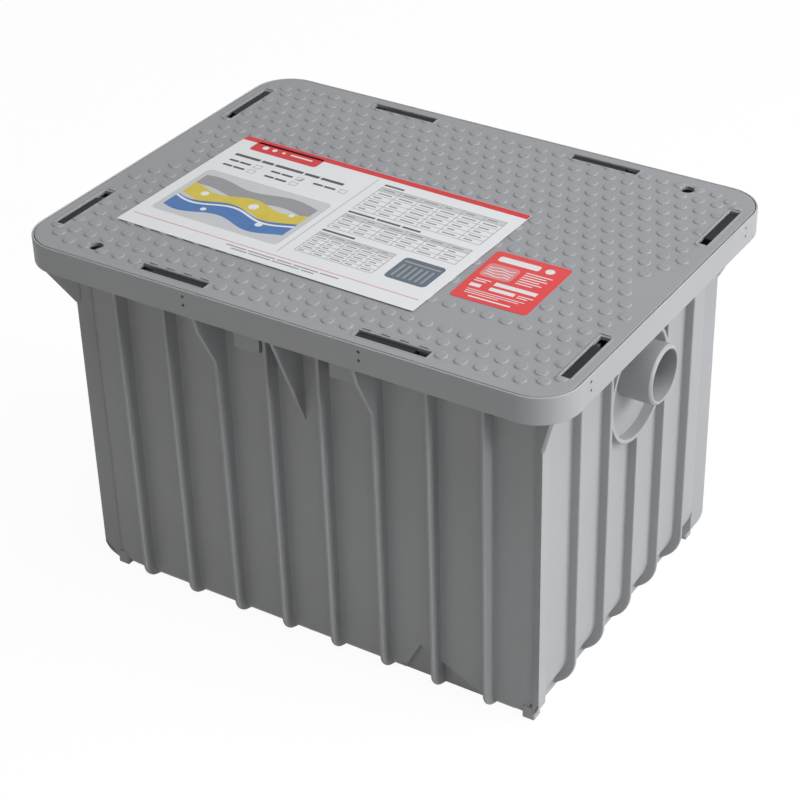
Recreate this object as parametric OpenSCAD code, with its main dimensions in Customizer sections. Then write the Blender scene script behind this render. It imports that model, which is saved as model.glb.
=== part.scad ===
// Plastic grease trap for a kitchen drain: a finned tub with a pipe spigot at each end,
// a studded lid held by eight sliding latches, a lid gasket and two lift-out baffles.
// Millimetres. X runs from inlet to outlet, Y from front to back, Z up from the floor.

/* [Overall] */
// Outside length of the rim
rim_l = 570; // [550:2:640]
// Outside width of the rim
rim_w = 424; // [410:2:500]
// Height from the floor to the top face of the lid plate
total_h = 386; // [350:2:460]
// Play beside a piece that slides
slide_play = 0.5; // [0.3:0.1:0.7]
// Play over a flat face that carries a sliding piece
seat_play = 0.3; // [0.2:0.1:0.5]

/* [Rim] */
// Corner radius of the rim in plan
rim_r = 40; // [36:1:50]
// Height of the rim skirt
skirt_h = 27; // [26:1:34]
// Thickness of the rim skirt
skirt_t = 2; // [1.5:0.5:3]
// Thickness of the ledge inside the rim
ledge_t = 4; // [3:0.5:5]
// Reach of the rim beyond the end walls
end_overhang = 37; // [36:1:44]
// Reach of the rim beyond the front and back walls
side_overhang = 45; // [40:1:52]
// Diameter of the small holes through the skirt
skirt_hole_d = 3.2; // [2:0.2:5]
// Depth of the upper skirt hole below the lid's top face
skirt_hole_drop = 6.5; // [5:0.5:8]
// Distance between the two holes of a pair
skirt_hole_pitch = 8.5; // [6:0.5:10]
// Distance of a hole pair from the middle of the latch slot beside it
skirt_hole_off = 23; // [18:0.5:30]

/* [Tub walls] */
// Thickness of the walls and the floor
wall = 5; // [4:0.5:7]
// Radius of the upright corners of the walls
wall_r = 14; // [8:1:20]
// Radius of the bottom edges of the front and back walls
bottom_r = 11; // [9:1:14]
// Radius of the bottom edges of the end walls
end_bottom_r = 45; // [36:1:50]

/* [Foot ring] */
// Distance of the foot ring behind the end walls
foot_end_in = 13; // [11:0.5:15]
// Distance of the foot ring behind the front and back walls
foot_side_in = 7; // [5:0.5:8]
// Thickness of the foot ring
foot_t = 5; // [4:0.5:6]
// Reach of a corner foot from the foot ring
corner_foot = 8.5; // [6:0.5:10]
// Radius of the bottom edges of a corner foot
corner_foot_r = 3; // [2:0.5:4]

/* [Floor ridge] */
// Foot of the ridge's steep side, from the middle
ridge_steep_x = 99; // [80:1:105]
// Top line of the ridge, from the middle
ridge_top_x = 119.5; // [112:0.5:130]
// Foot of the ridge's gentle side, from the middle
ridge_gentle_x = 204; // [180:1:215]
// Height of the hollow below the ridge
ridge_h = 40; // [25:1:55]

/* [Fins] */
// Distance between fins
fin_pitch = 56.4; // [50:0.2:64]
// Thickness of a fin
fin_t = 4; // [3:0.5:6]
// Reach of the front and back fins at the rim
side_fin_reach = 17; // [12:1:22]
// Reach of the front and back fins at the floor
side_fin_foot = 14.5; // [9:0.5:16]
// Reach of the end fins
end_fin_reach = 9; // [6:0.5:14]
// Radius of the foot of a front or back fin
fin_foot_r = 22; // [16:1:24]
// Radius of the foot of an end fin
end_foot_r = 40; // [30:1:42]
// Reach of a corner wedge beyond the end wall
corner_end_reach = 3.5; // [2:0.5:6]
// Reach of a corner wedge beyond the front or back wall
corner_side_reach = 8; // [5:0.5:12]
// Width of a corner wedge on the front or back wall
corner_side_root = 8; // [6:0.5:12]
// Width of a corner wedge on the end wall
corner_end_root = 12; // [8:0.5:14]
// Radius of the foot of a corner wedge
corner_wedge_r = 30; // [24:1:36]
// Thickness of the flare of a corner wedge
corner_t = 4; // [3:0.5:6]
// Height of the flare of a corner wedge below the rim
corner_flare_h = 50; // [30:1:60]
// Height of the flare of the second fin from the middle
fin_flare_h = 60; // [40:1:80]
// Height of the broad top part of that flare
fin_flare_top_h = 19; // [10:1:30]
// Height of the middle gusset below the rim
gusset_h = 106; // [60:1:120]
// Width of a pad below the rim
pad_w = 28; // [16:1:32]
// Height of a pad below the rim
pad_h = 40; // [25:1:60]
// Reach of a pad from the wall
pad_reach = 11; // [6:1:15]
// Distance of a pad from the middle
pad_x = 51.5; // [46:0.5:56]

/* [Pipe spigots] */
// Outside diameter of a spigot
pipe_d = 58; // [50:0.1:64]
// Bore of a spigot
pipe_bore = 49.6; // [40:0.1:52]
// Height of the pipe axis below the lid's top face
pipe_drop = 85.8; // [78:0.1:95]
// Length of a spigot from the end wall
pipe_l = 33; // [20:1:34]
// Chamfer about the end of a spigot
pipe_chamfer = 2.3; // [1:0.1:3]
// Outside radius of the recess about a spigot
recess_r = 57.5; // [50:0.5:62]
// Thickness of the wall of the recess
recess_t = 4; // [3:0.5:6]
// Height of the recess centre below the pipe axis
recess_drop = 16.2; // [10:0.1:20]
// Depth of the recess floor behind the end wall
recess_sink = 2; // [1:0.5:3]

/* [Lid] */
// Thickness of the lid plate
lid_t = 4; // [3:0.5:5]
// Gap between the lid edge and the skirt
lid_gap = 0.6; // [0.4:0.1:1.2]
// Thickness of the walls below the lid plate
lid_wall_t = 4; // [3:0.5:5]
// Thickness of the stiffening ribs
rib_t = 3; // [2:0.5:4]
// Depth of the stiffening ribs
rib_h = 10; // [6:1:14]
// Number of rib fields along the lid
rib_fields_x = 6; // [3:1:8]
// Number of rib fields across the lid
rib_fields_y = 4; // [2:1:6]
// Diameter of a lift hole
lift_hole_d = 13.5; // [8:0.5:15]
// Distance of a lift hole from the end of the rim
lift_hole_x = 76; // [70:1:90]
// Distance of a lift hole from the side of the rim
lift_hole_y = 26; // [22:0.5:28]

/* [Studs] */
// Distance between studs in a row
stud_pitch = 19; // [16:0.5:24]
// Diameter of a stud at its foot
stud_d = 11.8; // [8:0.2:14]
// Diameter of a stud at its top
stud_top_d = 10.6; // [6:0.2:12]
// Height of a stud
stud_h = 1; // [0.8:0.1:2]
// Distance from the lid edge to the outermost stud centres at the ends
stud_end_edge = 13; // [10:0.5:20]
// Distance from the lid edge to the outermost stud centres at the sides
stud_side_edge = 18; // [14:0.5:24]
// Distance of a corner stud from the end of the lid
corner_stud_x = 27; // [20:0.5:32]
// Distance of a corner stud from the side of the lid
corner_stud_y = 27; // [22:0.5:30]

/* [Gasket] */
// Distance from the rim's outside to the middle of the gasket
seal_inset = 35; // [33:0.5:36]
// Width of the gasket
gasket_w = 8; // [6:0.5:8]
// Thickness of the gasket
gasket_t = 4; // [3:0.5:5]
// Depth of the gasket's groove in the ledge
groove_d = 1; // [0.5:0.5:2]
// Corner radius of the middle of the gasket
seal_r = 20; // [16:1:26]

/* [Latches] */
// Length of a latch slot
slot_l = 73; // [68:1:80]
// Width of a latch slot
slot_w = 10; // [9:0.5:11]
// Distance from the rim's outside to the middle of a slot
slot_inset = 17.7; // [17:0.1:18]
// Distance from the end of the rim to the middle of a front or back slot
side_slot_inset = 169.5; // [155:0.5:185]
// Distance from the side of the rim to the middle of an end slot
end_slot_inset = 80.7; // [77:0.1:95]
// Width of the raised border of a slot
border_w = 2.5; // [1:0.5:3]
// Height of the raised border of a slot
border_h = 0.3; // [0.2:0.1:1]
// Length of a latch
latch_l = 57; // [50:1:57]
// Gap between a released latch and the near end of its slot
latch_end_gap = 2; // [1:0.5:2]
// Depth of the latch top below the lid's top face
latch_drop = 1.4; // [0.8:0.1:2]
// Width of the latch flange that runs in the rails
flange_w = 14; // [13:0.5:14]
// Thickness of the latch flange
flange_t = 3.4; // [2.5:0.1:3.6]
// Thickness of the rails and their lips
rail_t = 2.4; // [2:0.1:2.6]
// Reach of a rail lip below the flange
lip_reach = 2.6; // [2:0.1:3]
// Length of the hook at the leading end of a latch
hook_l = 14; // [10:1:16]
// Thickness of a hook and of a keeper
hook_t = 3.5; // [3:0.1:3.6]
// Length of a keeper
keeper_l = 12; // [8:1:12]
// Reach of the hook below the keeper
hook_reach = 4; // [3:0.1:4]

/* [Baffles] */
// Thickness of a baffle
baffle_t = 4; // [3:0.5:6]
// Distance of a baffle from the inside of its end wall
baffle_off = 45; // [30:1:60]
// Height of the lower edge of a baffle
baffle_z = 70; // [55:1:110]
// Distance of the upper edge of a baffle below the lid's top face
baffle_top_drop = 36; // [34:1:60]
// Thickness of the guides that hold a baffle
guide_t = 4; // [3:0.5:5]
// Reach of the guides from the wall
guide_reach = 9; // [6:1:12]
// Width of a window in the inlet baffle
window_w = 28; // [20:1:34]
// Height of a window in the inlet baffle
window_h = 70; // [40:1:90]
// Number of windows in the inlet baffle
window_count = 5; // [2:1:6]
// Length of the hand hole in a baffle
hand_hole_l = 90; // [80:1:120]
// Height of the hand hole in a baffle
hand_hole_h = 26; // [24:1:32]

/* [Labels] */
// Thickness of the paper label and the sticker
label_t = 0.4; // [0.3:0.1:0.6]
// Length of the paper label
label_l = 329; // [200:1:340]
// Width of the paper label
label_w = 204.5; // [120:0.5:214]
// Middle of the paper label along X
label_x = -59; // [-70:0.5:-50]
// Middle of the paper label along Y
label_y = -36.5; // [-40:0.5:-25]
// Turn of the paper label in plan
label_turn = -1.1; // [-2:0.1:2]
// Length of the sticker along X
sticker_l = 77; // [50:1:80]
// Width of the sticker along Y
sticker_w = 90.5; // [60:0.5:92]
// Middle of the sticker along X
sticker_x = 152; // [148:0.5:160]
// Middle of the sticker along Y
sticker_y = -54; // [-60:0.25:-45]
// Turn of the sticker in plan
sticker_turn = 1; // [-2:0.1:2]
// Corner radius of the sticker
sticker_r = 4; // [3:0.5:10]
// Flat margin about the sticker
sticker_margin = 3; // [1:0.5:4]

/* [Hidden] */
$fn = 48;
tub_colour = "#a9abad";
lid_colour = "#9b9da0";
latch_colour = "#262626";
overlap = 1;                                   // sinks joined forms into each other
through = 200;                                 // longer than anything that is cut through

// Tub
body_l = rim_l - 2 * end_overhang;
body_w = rim_w - 2 * side_overhang;
inside_l = body_l - 2 * wall;
inside_w = body_w - 2 * wall;
inside_r = wall_r - wall / 2;
rim_z = total_h - skirt_h;
ledge_z = rim_z + ledge_t;
well_l = rim_l - 2 * skirt_t;
well_w = rim_w - 2 * skirt_t;
well_r = rim_r - skirt_t;
pipe_z = total_h - pipe_drop;
recess_z = pipe_z - recess_drop;
recess_reach = end_fin_reach;
foot_x = body_l / 2 - foot_end_in;
foot_y = body_w / 2 - foot_side_in;
foot_h = end_bottom_r - sqrt(pow(end_bottom_r, 2) - pow(end_bottom_r - foot_end_in, 2)) + overlap;
tip_x = body_l / 2 + corner_end_reach;
tip_y = body_w / 2 + corner_side_reach;
flare_run = [rim_l / 2 - rim_r - tip_x, rim_w / 2 - rim_r - tip_y]
    + (rim_r - skirt_t / 2) * [cos(45), sin(45)];
flare_reach = side_overhang - skirt_t / 3;

// The ridge inside is the hollow below it, moved out by the floor's thickness
steep_run = (ridge_top_x - ridge_steep_x) / ridge_h;
gentle_run = (ridge_gentle_x - ridge_top_x) / ridge_h;
inner_steep_x = ridge_steep_x - wall * norm([steep_run, 1]);
inner_gentle_x = ridge_gentle_x + wall * norm([gentle_run, 1]);
inner_ridge_h = (inner_gentle_x - inner_steep_x) / (steep_run + gentle_run);
inner_top_x = inner_steep_x + inner_ridge_h * steep_run;

// Lid and gasket
lid_l = well_l - 2 * lid_gap;
lid_w = well_w - 2 * lid_gap;
lid_r = well_r - lid_gap;
seal_l = rim_l - 2 * seal_inset;
seal_w = rim_w - 2 * seal_inset;
gasket_z = ledge_z - groove_d;
seal_z = gasket_z + gasket_t;
stud_rows = floor((lid_w / 2 - stud_side_edge) / stud_pitch);
stud_halves = floor((lid_l / 2 - stud_end_edge) / (stud_pitch / 2));
mark_row_y = -7 * stud_pitch;                  // the flat strip in front of the sticker
mark_x = [109, 214];
end_patch_x = 250;                             // the flat places at the middle of both ends
end_patch_y = 24;

// Latch levels, down from the lid's top face
latch_travel = slot_l - latch_l - latch_end_gap - 1;
latch_rest_x = (latch_l - slot_l) / 2 + latch_end_gap;
flange_top = -lid_t - seat_play;
flange_low = flange_top - flange_t;
lip_top = flange_low - seat_play;
lip_low = lip_top - rail_t;
keeper_top = lip_low - slide_play;
keeper_low = keeper_top - hook_t;
hook_top = keeper_low - slide_play;
hook_low = hook_top - hook_t;
stem_w = flange_w - 2 * lip_reach - 2 * slide_play;
rail_in = flange_w / 2 + slide_play;
keeper_in = stem_w / 2 + 2 * slide_play;
hook_lead = latch_rest_x + latch_l / 2;
keeper_x = hook_lead + 2 * slide_play;

// Baffles
baffle_x = inside_l / 2 - baffle_off;
baffle_w = inside_w - 2 * slide_play;
baffle_h = total_h - baffle_top_drop - baffle_z;
guide_x = baffle_t / 2 + slide_play;

// A rectangle with round corners, about the origin
module round_rect(l, w, r) {
    square([l - 2 * r, w], center = true);
    square([l, w - 2 * r], center = true);
    for (sx = [-1, 1], sy = [-1, 1])
        translate([sx * (l / 2 - r), sy * (w / 2 - r)]) circle(r);
}

// A section standing on the origin, with round lower corners
module round_bottom(l, h, r) {
    translate([-l / 2, r]) square([l, h - r]);
    translate([-l / 2 + r, 0]) square([l - 2 * r, h]);
    for (s = [-1, 1])
        translate([s * (l / 2 - r), r]) circle(r);
}

// Sets a section drawn in X and Z upright, with the given thickness along Y
module along_y(t) {
    rotate([90, 0, 0]) linear_extrude(t, center = true) children();
}

// Sets a section drawn in Y and Z upright, with the given thickness along X
module along_x(t) {
    rotate([90, 0, 90]) linear_extrude(t, center = true) children();
}

// A box with round upright corners and round bottom edges
module trough(l, w, h, corner_r, end_r, side_r) {
    intersection() {
        linear_extrude(h) round_rect(l, w, corner_r);
        along_y(w) round_bottom(l, h, end_r);
        along_x(l) round_bottom(w, h, side_r);
    }
}

// Repeats the children at both ends and on both sides
module four_ways() {
    for (sx = [0, 1], sy = [0, 1])
        mirror([sx, 0, 0]) mirror([0, sy, 0]) children();
}

module both_ends() {
    for (sx = [0, 1]) mirror([sx, 0, 0]) children();
}

module both_sides() {
    for (sy = [0, 1]) mirror([0, sy, 0]) children();
}

// Places the children in a slot: local X is the way the latch locks, local Y points out to the rim
module in_side_slot() {
    translate([rim_l / 2 - side_slot_inset, rim_w / 2 - slot_inset, total_h]) children();
}

module in_end_slot() {
    translate([rim_l / 2 - slot_inset, rim_w / 2 - end_slot_inset, total_h]) rotate(-90) children();
}

module in_every_slot() {
    four_ways() {
        in_side_slot() children();
        in_end_slot() children();
    }
}

// The outline of a fin: inner edge in the foot ring, outer edge at its reach, round foot
module fin_outline(inner, foot, top, r) {
    h = rim_z + overlap;
    polygon([[inner, r], [foot, r], [top, h], [inner, h]]);
    intersection() {
        translate([foot - r, r]) circle(r, $fn = 96);
        translate([inner, 0]) square([foot - inner, r]);
    }
}

module side_fin_outline() {
    half = body_w / 2;
    fin_outline(foot_y - overlap, half + side_fin_foot, half + side_fin_reach, fin_foot_r);
}

module end_fin_outline() {
    reach = body_l / 2 + end_fin_reach;
    fin_outline(foot_x - overlap, reach, reach, end_foot_r);
}

// A fin's broad top, reaching out under the rim
module fin_flare_outline() {
    half = body_w / 2;
    polygon([
        [half - overlap, rim_z + overlap],
        [half + flare_reach, rim_z + overlap],
        [half + flare_reach - 6, rim_z - fin_flare_top_h],
        [half + side_fin_reach, rim_z - fin_flare_h],
        [half - overlap, rim_z - fin_flare_h],
    ]);
}

module gusset_outline() {
    half = body_w / 2;
    polygon([
        [half - overlap, rim_z + overlap],
        [half + flare_reach, rim_z + overlap],
        [half, rim_z - gusset_h],
        [half - overlap, rim_z - gusset_h],
    ]);
}

module corner_flare_outline() {
    root = -corner_side_reach / 2;
    polygon([
        [root, rim_z + overlap],
        [norm(flare_run), rim_z + overlap],
        [norm(flare_run), rim_z - overlap],
        [0, rim_z - corner_flare_h],
        [root, rim_z - corner_flare_h],
    ]);
}

module side_fins() {
    for (x = [fin_pitch / 2 : fin_pitch : body_l / 2 - fin_pitch / 2])
        translate([x, 0, 0]) along_x(fin_t) side_fin_outline();
    translate([1.5 * fin_pitch, 0, 0]) along_x(fin_t) fin_flare_outline();
    translate([pad_x - pad_w / 2, body_w / 2 - overlap, rim_z - pad_h])
        cube([pad_w, pad_reach + overlap, pad_h + overlap]);
}

module end_fins() {
    for (y = [0 : fin_pitch : body_w / 2 - fin_pitch / 2])
        translate([0, y, 0]) along_y(fin_t) end_fin_outline();
}

// A wedge along each upright corner, with a round foot
module corner_wedge() {
    intersection() {
        linear_extrude(rim_z + overlap)
            polygon([
                [body_l / 2 - corner_side_root, body_w / 2],
                [tip_x, tip_y],
                [body_l / 2, body_w / 2 - corner_end_root],
                [body_l / 2 - wall_r, body_w / 2 - wall_r],
            ]);
        along_y(rim_w) fin_outline(foot_x - corner_foot, tip_x, tip_x, corner_wedge_r);
        along_x(rim_l) fin_outline(foot_y - corner_foot, tip_y, tip_y, fin_foot_r);
    }
}

// The flare that carries a corner wedge out to the rim
module corner_flare() {
    translate([tip_x, tip_y, 0]) rotate(atan2(flare_run.y, flare_run.x))
        along_y(corner_t) corner_flare_outline();
}

// A small foot below each corner wedge, standing out of the foot ring
module corner_foot_block() {
    side = corner_foot + foot_t;
    translate([foot_x + corner_foot - side / 2, foot_y + corner_foot - side / 2, 0])
        trough(side, side, corner_wedge_r / 2, corner_foot_r, corner_foot_r, corner_foot_r);
}

// The ring below the round bottom edges that the tub stands on
module foot_ring() {
    linear_extrude(foot_h)
        difference() {
            square([2 * foot_x, 2 * foot_y], center = true);
            square([2 * foot_x - 2 * foot_t, 2 * foot_y - 2 * foot_t], center = true);
        }
}

// The web that closes the hollow of the ridge, in line with the foot ring
module ridge_web() {
    translate([0, foot_y - foot_t / 2, 0]) along_y(foot_t)
        polygon([
            [ridge_steep_x - overlap, 0],
            [ridge_top_x, ridge_h + overlap],
            [ridge_gentle_x + overlap, 0],
        ]);
}

module ridge_hollow() {
    along_y(body_w + 2 * overlap)
        polygon([
            [ridge_steep_x - steep_run * overlap, -overlap],
            [ridge_top_x, ridge_h],
            [ridge_gentle_x + gentle_run * overlap, -overlap],
        ]);
}

module inner_ridge() {
    along_y(body_w)
        polygon([[inner_steep_x, 0], [inner_top_x, inner_ridge_h], [inner_gentle_x, 0]]);
}

// The space inside the tub, over the ridge
module tub_inside() {
    difference() {
        translate([0, 0, wall])
            trough(inside_l, inside_w, total_h, inside_r, end_bottom_r - wall, bottom_r - wall / 2);
        inner_ridge();
    }
}

// The round recess about a spigot, from the wall to the edge of the end fins
module recess_wall() {
    translate([body_l / 2 - overlap, 0, recess_z]) rotate([0, 90, 0])
        cylinder(r = recess_r, h = recess_reach + overlap, $fn = 96);
}

module recess_space() {
    translate([body_l / 2 - recess_sink, 0, recess_z]) rotate([0, 90, 0])
        cylinder(r = recess_r - recess_t, h = through, $fn = 96);
}

module spigot() {
    straight_l = wall + pipe_l - pipe_chamfer;
    translate([body_l / 2 - wall, 0, pipe_z]) rotate([0, 90, 0]) {
        cylinder(d = pipe_d, h = straight_l, $fn = 96);
        translate([0, 0, straight_l])
            cylinder(d1 = pipe_d, d2 = pipe_d - 2 * pipe_chamfer, h = pipe_chamfer, $fn = 96);
    }
}

module spigot_bore() {
    translate([inside_l / 2 - overlap, 0, pipe_z]) rotate([0, 90, 0])
        cylinder(d = pipe_bore, h = through, $fn = 96);
}

// Two small holes through the skirt beside a slot
module skirt_holes() {
    for (drop = [skirt_hole_drop, skirt_hole_drop + skirt_hole_pitch])
        translate([-skirt_hole_off, slot_inset - skirt_t - overlap, -drop]) rotate([-90, 0, 0])
            cylinder(d = skirt_hole_d, h = skirt_t + 2 * overlap, $fn = 24);
}

// A tab on the inside of the skirt that a latch hooks under
module keeper() {
    translate([keeper_x, keeper_in, keeper_low])
        cube([keeper_l, slot_inset - skirt_t - keeper_in + overlap, hook_t]);
}

// Two guides and a stop below them, on the back wall
module baffle_guide() {
    for (s = [-1, 1])
        translate([s * (guide_x + guide_t / 2) - guide_t / 2, inside_w / 2 - guide_reach, baffle_z - guide_t])
            cube([guide_t, guide_reach + overlap, baffle_h + guide_t]);
    translate([-guide_x - overlap, inside_w / 2 - guide_reach, baffle_z - guide_t])
        cube([2 * guide_x + 2 * overlap, guide_reach + overlap, guide_t]);
}

module gasket_ring(w, h) {
    linear_extrude(h)
        difference() {
            round_rect(seal_l + w, seal_w + w, seal_r + w / 2);
            round_rect(seal_l - w, seal_w - w, seal_r - w / 2);
        }
}

module tub() {
    color(tub_colour) {
        difference() {
            union() {
                difference() {
                    trough(body_l, body_w, rim_z + overlap, wall_r, end_bottom_r, bottom_r);
                    ridge_hollow();
                }
                foot_ring();
                both_sides() ridge_web();
                translate([0, 0, rim_z]) linear_extrude(skirt_h) round_rect(rim_l, rim_w, rim_r);
                four_ways() {
                    side_fins();
                    corner_wedge();
                    corner_flare();
                    corner_foot_block();
                }
                four_ways() end_fins();
                both_sides() along_x(fin_t) gusset_outline();
                both_ends() recess_wall();
            }
            both_ends() {
                recess_space();
                spigot_bore();
            }
            tub_inside();
            translate([0, 0, ledge_z]) linear_extrude(skirt_h) round_rect(well_l, well_w, well_r);
            translate([0, 0, gasket_z]) gasket_ring(gasket_w + 2 * slide_play, groove_d + overlap);
            in_every_slot() skirt_holes();
        }
        both_ends()
            difference() {
                spigot();
                spigot_bore();
            }
        in_every_slot() keeper();
        four_ways() translate([baffle_x, 0, 0]) baffle_guide();
    }
}

// The lattice sites that hold a stud: every other one, apart from the flat places
function in_box(p, x0, x1, y0, y1) = p.x > x0 && p.x < x1 && p.y > y0 && p.y < y1;
function near_sticker(p) = in_box(p,
    sticker_x - sticker_l / 2 - sticker_margin, sticker_x + sticker_l / 2 + sticker_margin,
    sticker_y - sticker_w / 2 - sticker_margin, sticker_y + sticker_w / 2 + sticker_margin);
function on_mark(p) = in_box(p, mark_x[0], mark_x[1], mark_row_y - 1, mark_row_y + 1);
function on_end_patch(p) = abs(p.x) > end_patch_x && abs(p.y) < end_patch_y;
function at_corner(p) = abs(p.x) > lid_l / 2 - lid_r && abs(p.y) > lid_w / 2 - corner_stud_y;
function stud_sites() = [
    for (k = [-stud_rows : stud_rows], m = [-stud_halves : stud_halves])
        let (p = [m * stud_pitch / 2, k * stud_pitch])
        if (abs(m + k) % 2 == 1)
            if (!near_sticker(p) && !on_mark(p) && !on_end_patch(p) && !at_corner(p)) p
];

module stud() {
    translate([0, 0, total_h - overlap / 2]) {
        cylinder(d = stud_d, h = overlap / 2, $fn = 24);
        translate([0, 0, overlap / 2]) cylinder(d1 = stud_d, d2 = stud_top_d, h = stud_h, $fn = 24);
    }
}

module studs() {
    difference() {
        union() {
            for (p = stud_sites()) translate([p.x, p.y, 0]) stud();
            four_ways() translate([lid_l / 2 - corner_stud_x, lid_w / 2 - corner_stud_y, 0]) stud();
        }
        in_every_slot() translate([0, 0, -overlap]) slot_border(stud_h + 2 * overlap);
    }
}

module slot_border(h) {
    linear_extrude(h) round_rect(slot_l + 2 * border_w, slot_w + 2 * border_w, border_w);
}

// The two rails that carry a latch below its slot
module rails() {
    for (s = [0, 1])
        mirror([0, s, 0]) {
            translate([-slot_l / 2, rail_in, lip_low]) cube([slot_l, rail_t, -lip_low - lid_t + overlap]);
            translate([-slot_l / 2, rail_in - slide_play - lip_reach, lip_low])
                cube([slot_l, lip_reach + slide_play + overlap, rail_t]);
        }
}

module slot_cut() {
    translate([-slot_l / 2, -slot_w / 2, -lid_t - overlap])
        cube([slot_l, slot_w, lid_t + border_h + 2 * overlap]);
}

// The notch in the lid's outer wall that passes a keeper
module keeper_notch() {
    translate([keeper_x - 2 * slide_play, keeper_in, -total_h])
        cube([keeper_l + 4 * slide_play, slot_inset, total_h + keeper_top + 2 * slide_play]);
}

module lid_ribs() {
    field_x = seal_l / rib_fields_x;
    field_y = seal_w / rib_fields_y;
    translate([0, 0, total_h - lid_t - rib_h]) {
        for (i = [1 : rib_fields_x - 1])
            translate([i * field_x - seal_l / 2 - rib_t / 2, -seal_w / 2, 0])
                cube([rib_t, seal_w, rib_h + overlap]);
        for (j = [1 : rib_fields_y - 1])
            translate([-seal_l / 2, j * field_y - seal_w / 2 - rib_t / 2, 0])
                cube([seal_l, rib_t, rib_h + overlap]);
    }
}

module lid_outer_wall() {
    linear_extrude(total_h - seal_z - overlap)
        difference() {
            round_rect(lid_l, lid_w, lid_r);
            round_rect(lid_l - 2 * lid_wall_t, lid_w - 2 * lid_wall_t, lid_r - lid_wall_t);
        }
}

module lid() {
    color(lid_colour)
        difference() {
            union() {
                translate([0, 0, total_h - lid_t]) linear_extrude(lid_t) round_rect(lid_l, lid_w, lid_r);
                translate([0, 0, seal_z]) lid_outer_wall();
                translate([0, 0, seal_z]) gasket_ring(lid_wall_t, total_h - seal_z - overlap);
                lid_ribs();
                in_every_slot() {
                    translate([0, 0, -overlap]) slot_border(border_h + overlap);
                    rails();
                }
                studs();
            }
            in_every_slot() {
                slot_cut();
                keeper_notch();
            }
            for (s = [-1, 1])
                translate([s * (rim_l / 2 - lift_hole_x), s * (rim_w / 2 - lift_hole_y), total_h])
                    translate([0, 0, -lid_t - overlap]) cylinder(d = lift_hole_d, h = 2 * lid_t);
        }
}

module lid_gasket() {
    color("#303132") translate([0, 0, gasket_z]) gasket_ring(gasket_w, gasket_t);
}

// A latch in its slot, released: head in the slot, flange in the rails, hook at the leading end
module latch() {
    color(latch_colour) {
        translate([latch_rest_x - latch_l / 2, -slot_w / 2 + slide_play, flange_top - overlap])
            cube([latch_l, slot_w - 2 * slide_play, overlap - flange_top - latch_drop]);
        translate([latch_rest_x - latch_l / 2, -flange_w / 2, flange_low])
            cube([latch_l, flange_w, flange_t]);
        translate([hook_lead - hook_l, -stem_w / 2, hook_low])
            cube([hook_l, stem_w, flange_low + overlap - hook_low]);
        translate([hook_lead - hook_l, -stem_w / 2, hook_low])
            cube([hook_l, stem_w / 2 + keeper_in + hook_reach, hook_t]);
    }
}

// A plate that hangs in the guides, with a hand hole below its upper edge
module baffle_plate() {
    translate([0, 0, baffle_z])
        along_x(baffle_t)
            difference() {
                translate([-baffle_w / 2, 0]) square([baffle_w, baffle_h]);
                translate([0, baffle_h - 1.5 * hand_hole_h]) hand_hole();
            }
}

module hand_hole() {
    square([hand_hole_l - hand_hole_h, hand_hole_h], center = true);
    for (s = [-1, 1]) translate([s * (hand_hole_l - hand_hole_h) / 2, 0]) circle(d = hand_hole_h);
}

module baffle_window() {
    along_x(baffle_t + 2 * overlap) {
        translate([-window_w / 2, 0]) square([window_w, window_h - window_w / 2]);
        translate([0, window_h - window_w / 2]) circle(d = window_w);
    }
}

module inlet_baffle() {
    step = (baffle_w - 2 * guide_reach) / window_count;
    color("#8d8f92")
        translate([-baffle_x, 0, 0])
            difference() {
                baffle_plate();
                for (i = [0 : window_count - 1])
                    translate([0, (i + 0.5) * step - window_count * step / 2, baffle_z + window_w])
                        baffle_window();
            }
}

module outlet_baffle() {
    color("#8d8f92") translate([baffle_x, 0, 0]) baffle_plate();
}

module info_label() {
    color("white")
        translate([label_x, label_y, total_h + stud_h]) rotate(label_turn)
            linear_extrude(label_t) square([label_l, label_w], center = true);
}

module rating_sticker() {
    color("#d8232a")
        translate([sticker_x, sticker_y, total_h]) rotate(sticker_turn)
            linear_extrude(label_t) round_rect(sticker_l, sticker_w, sticker_r);
}

tub();
lid();
lid_gasket();
mirror([1, 0, 0]) mirror([0, 1, 0]) in_side_slot() latch();  // latch_front_left
mirror([0, 1, 0]) in_side_slot() latch();  // latch_front_right
mirror([1, 0, 0]) in_side_slot() latch();  // latch_back_left
in_side_slot() latch();  // latch_back_right
mirror([1, 0, 0]) mirror([0, 1, 0]) in_end_slot() latch();  // latch_left_front
mirror([1, 0, 0]) in_end_slot() latch();  // latch_left_back
mirror([0, 1, 0]) in_end_slot() latch();  // latch_right_front
in_end_slot() latch();  // latch_right_back
inlet_baffle();
outlet_baffle();
info_label();
rating_sticker();
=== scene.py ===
import math

import bmesh
import bpy
from mathutils import Matrix, Vector


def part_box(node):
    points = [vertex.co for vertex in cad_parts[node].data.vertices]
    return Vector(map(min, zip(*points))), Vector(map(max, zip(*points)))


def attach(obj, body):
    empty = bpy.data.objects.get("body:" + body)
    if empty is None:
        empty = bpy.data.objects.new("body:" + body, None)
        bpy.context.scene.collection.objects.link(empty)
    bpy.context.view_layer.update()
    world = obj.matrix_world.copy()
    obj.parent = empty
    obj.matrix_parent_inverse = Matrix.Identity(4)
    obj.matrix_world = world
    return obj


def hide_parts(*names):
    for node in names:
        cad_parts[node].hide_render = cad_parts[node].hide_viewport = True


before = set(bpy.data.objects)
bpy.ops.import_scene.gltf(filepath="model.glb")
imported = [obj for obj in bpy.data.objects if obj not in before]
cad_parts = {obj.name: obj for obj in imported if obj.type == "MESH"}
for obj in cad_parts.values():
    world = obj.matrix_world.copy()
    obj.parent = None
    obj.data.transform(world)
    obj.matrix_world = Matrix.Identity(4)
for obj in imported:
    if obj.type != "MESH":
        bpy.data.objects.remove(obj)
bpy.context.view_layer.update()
mm = 0.001
tiny = 1e-6
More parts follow.
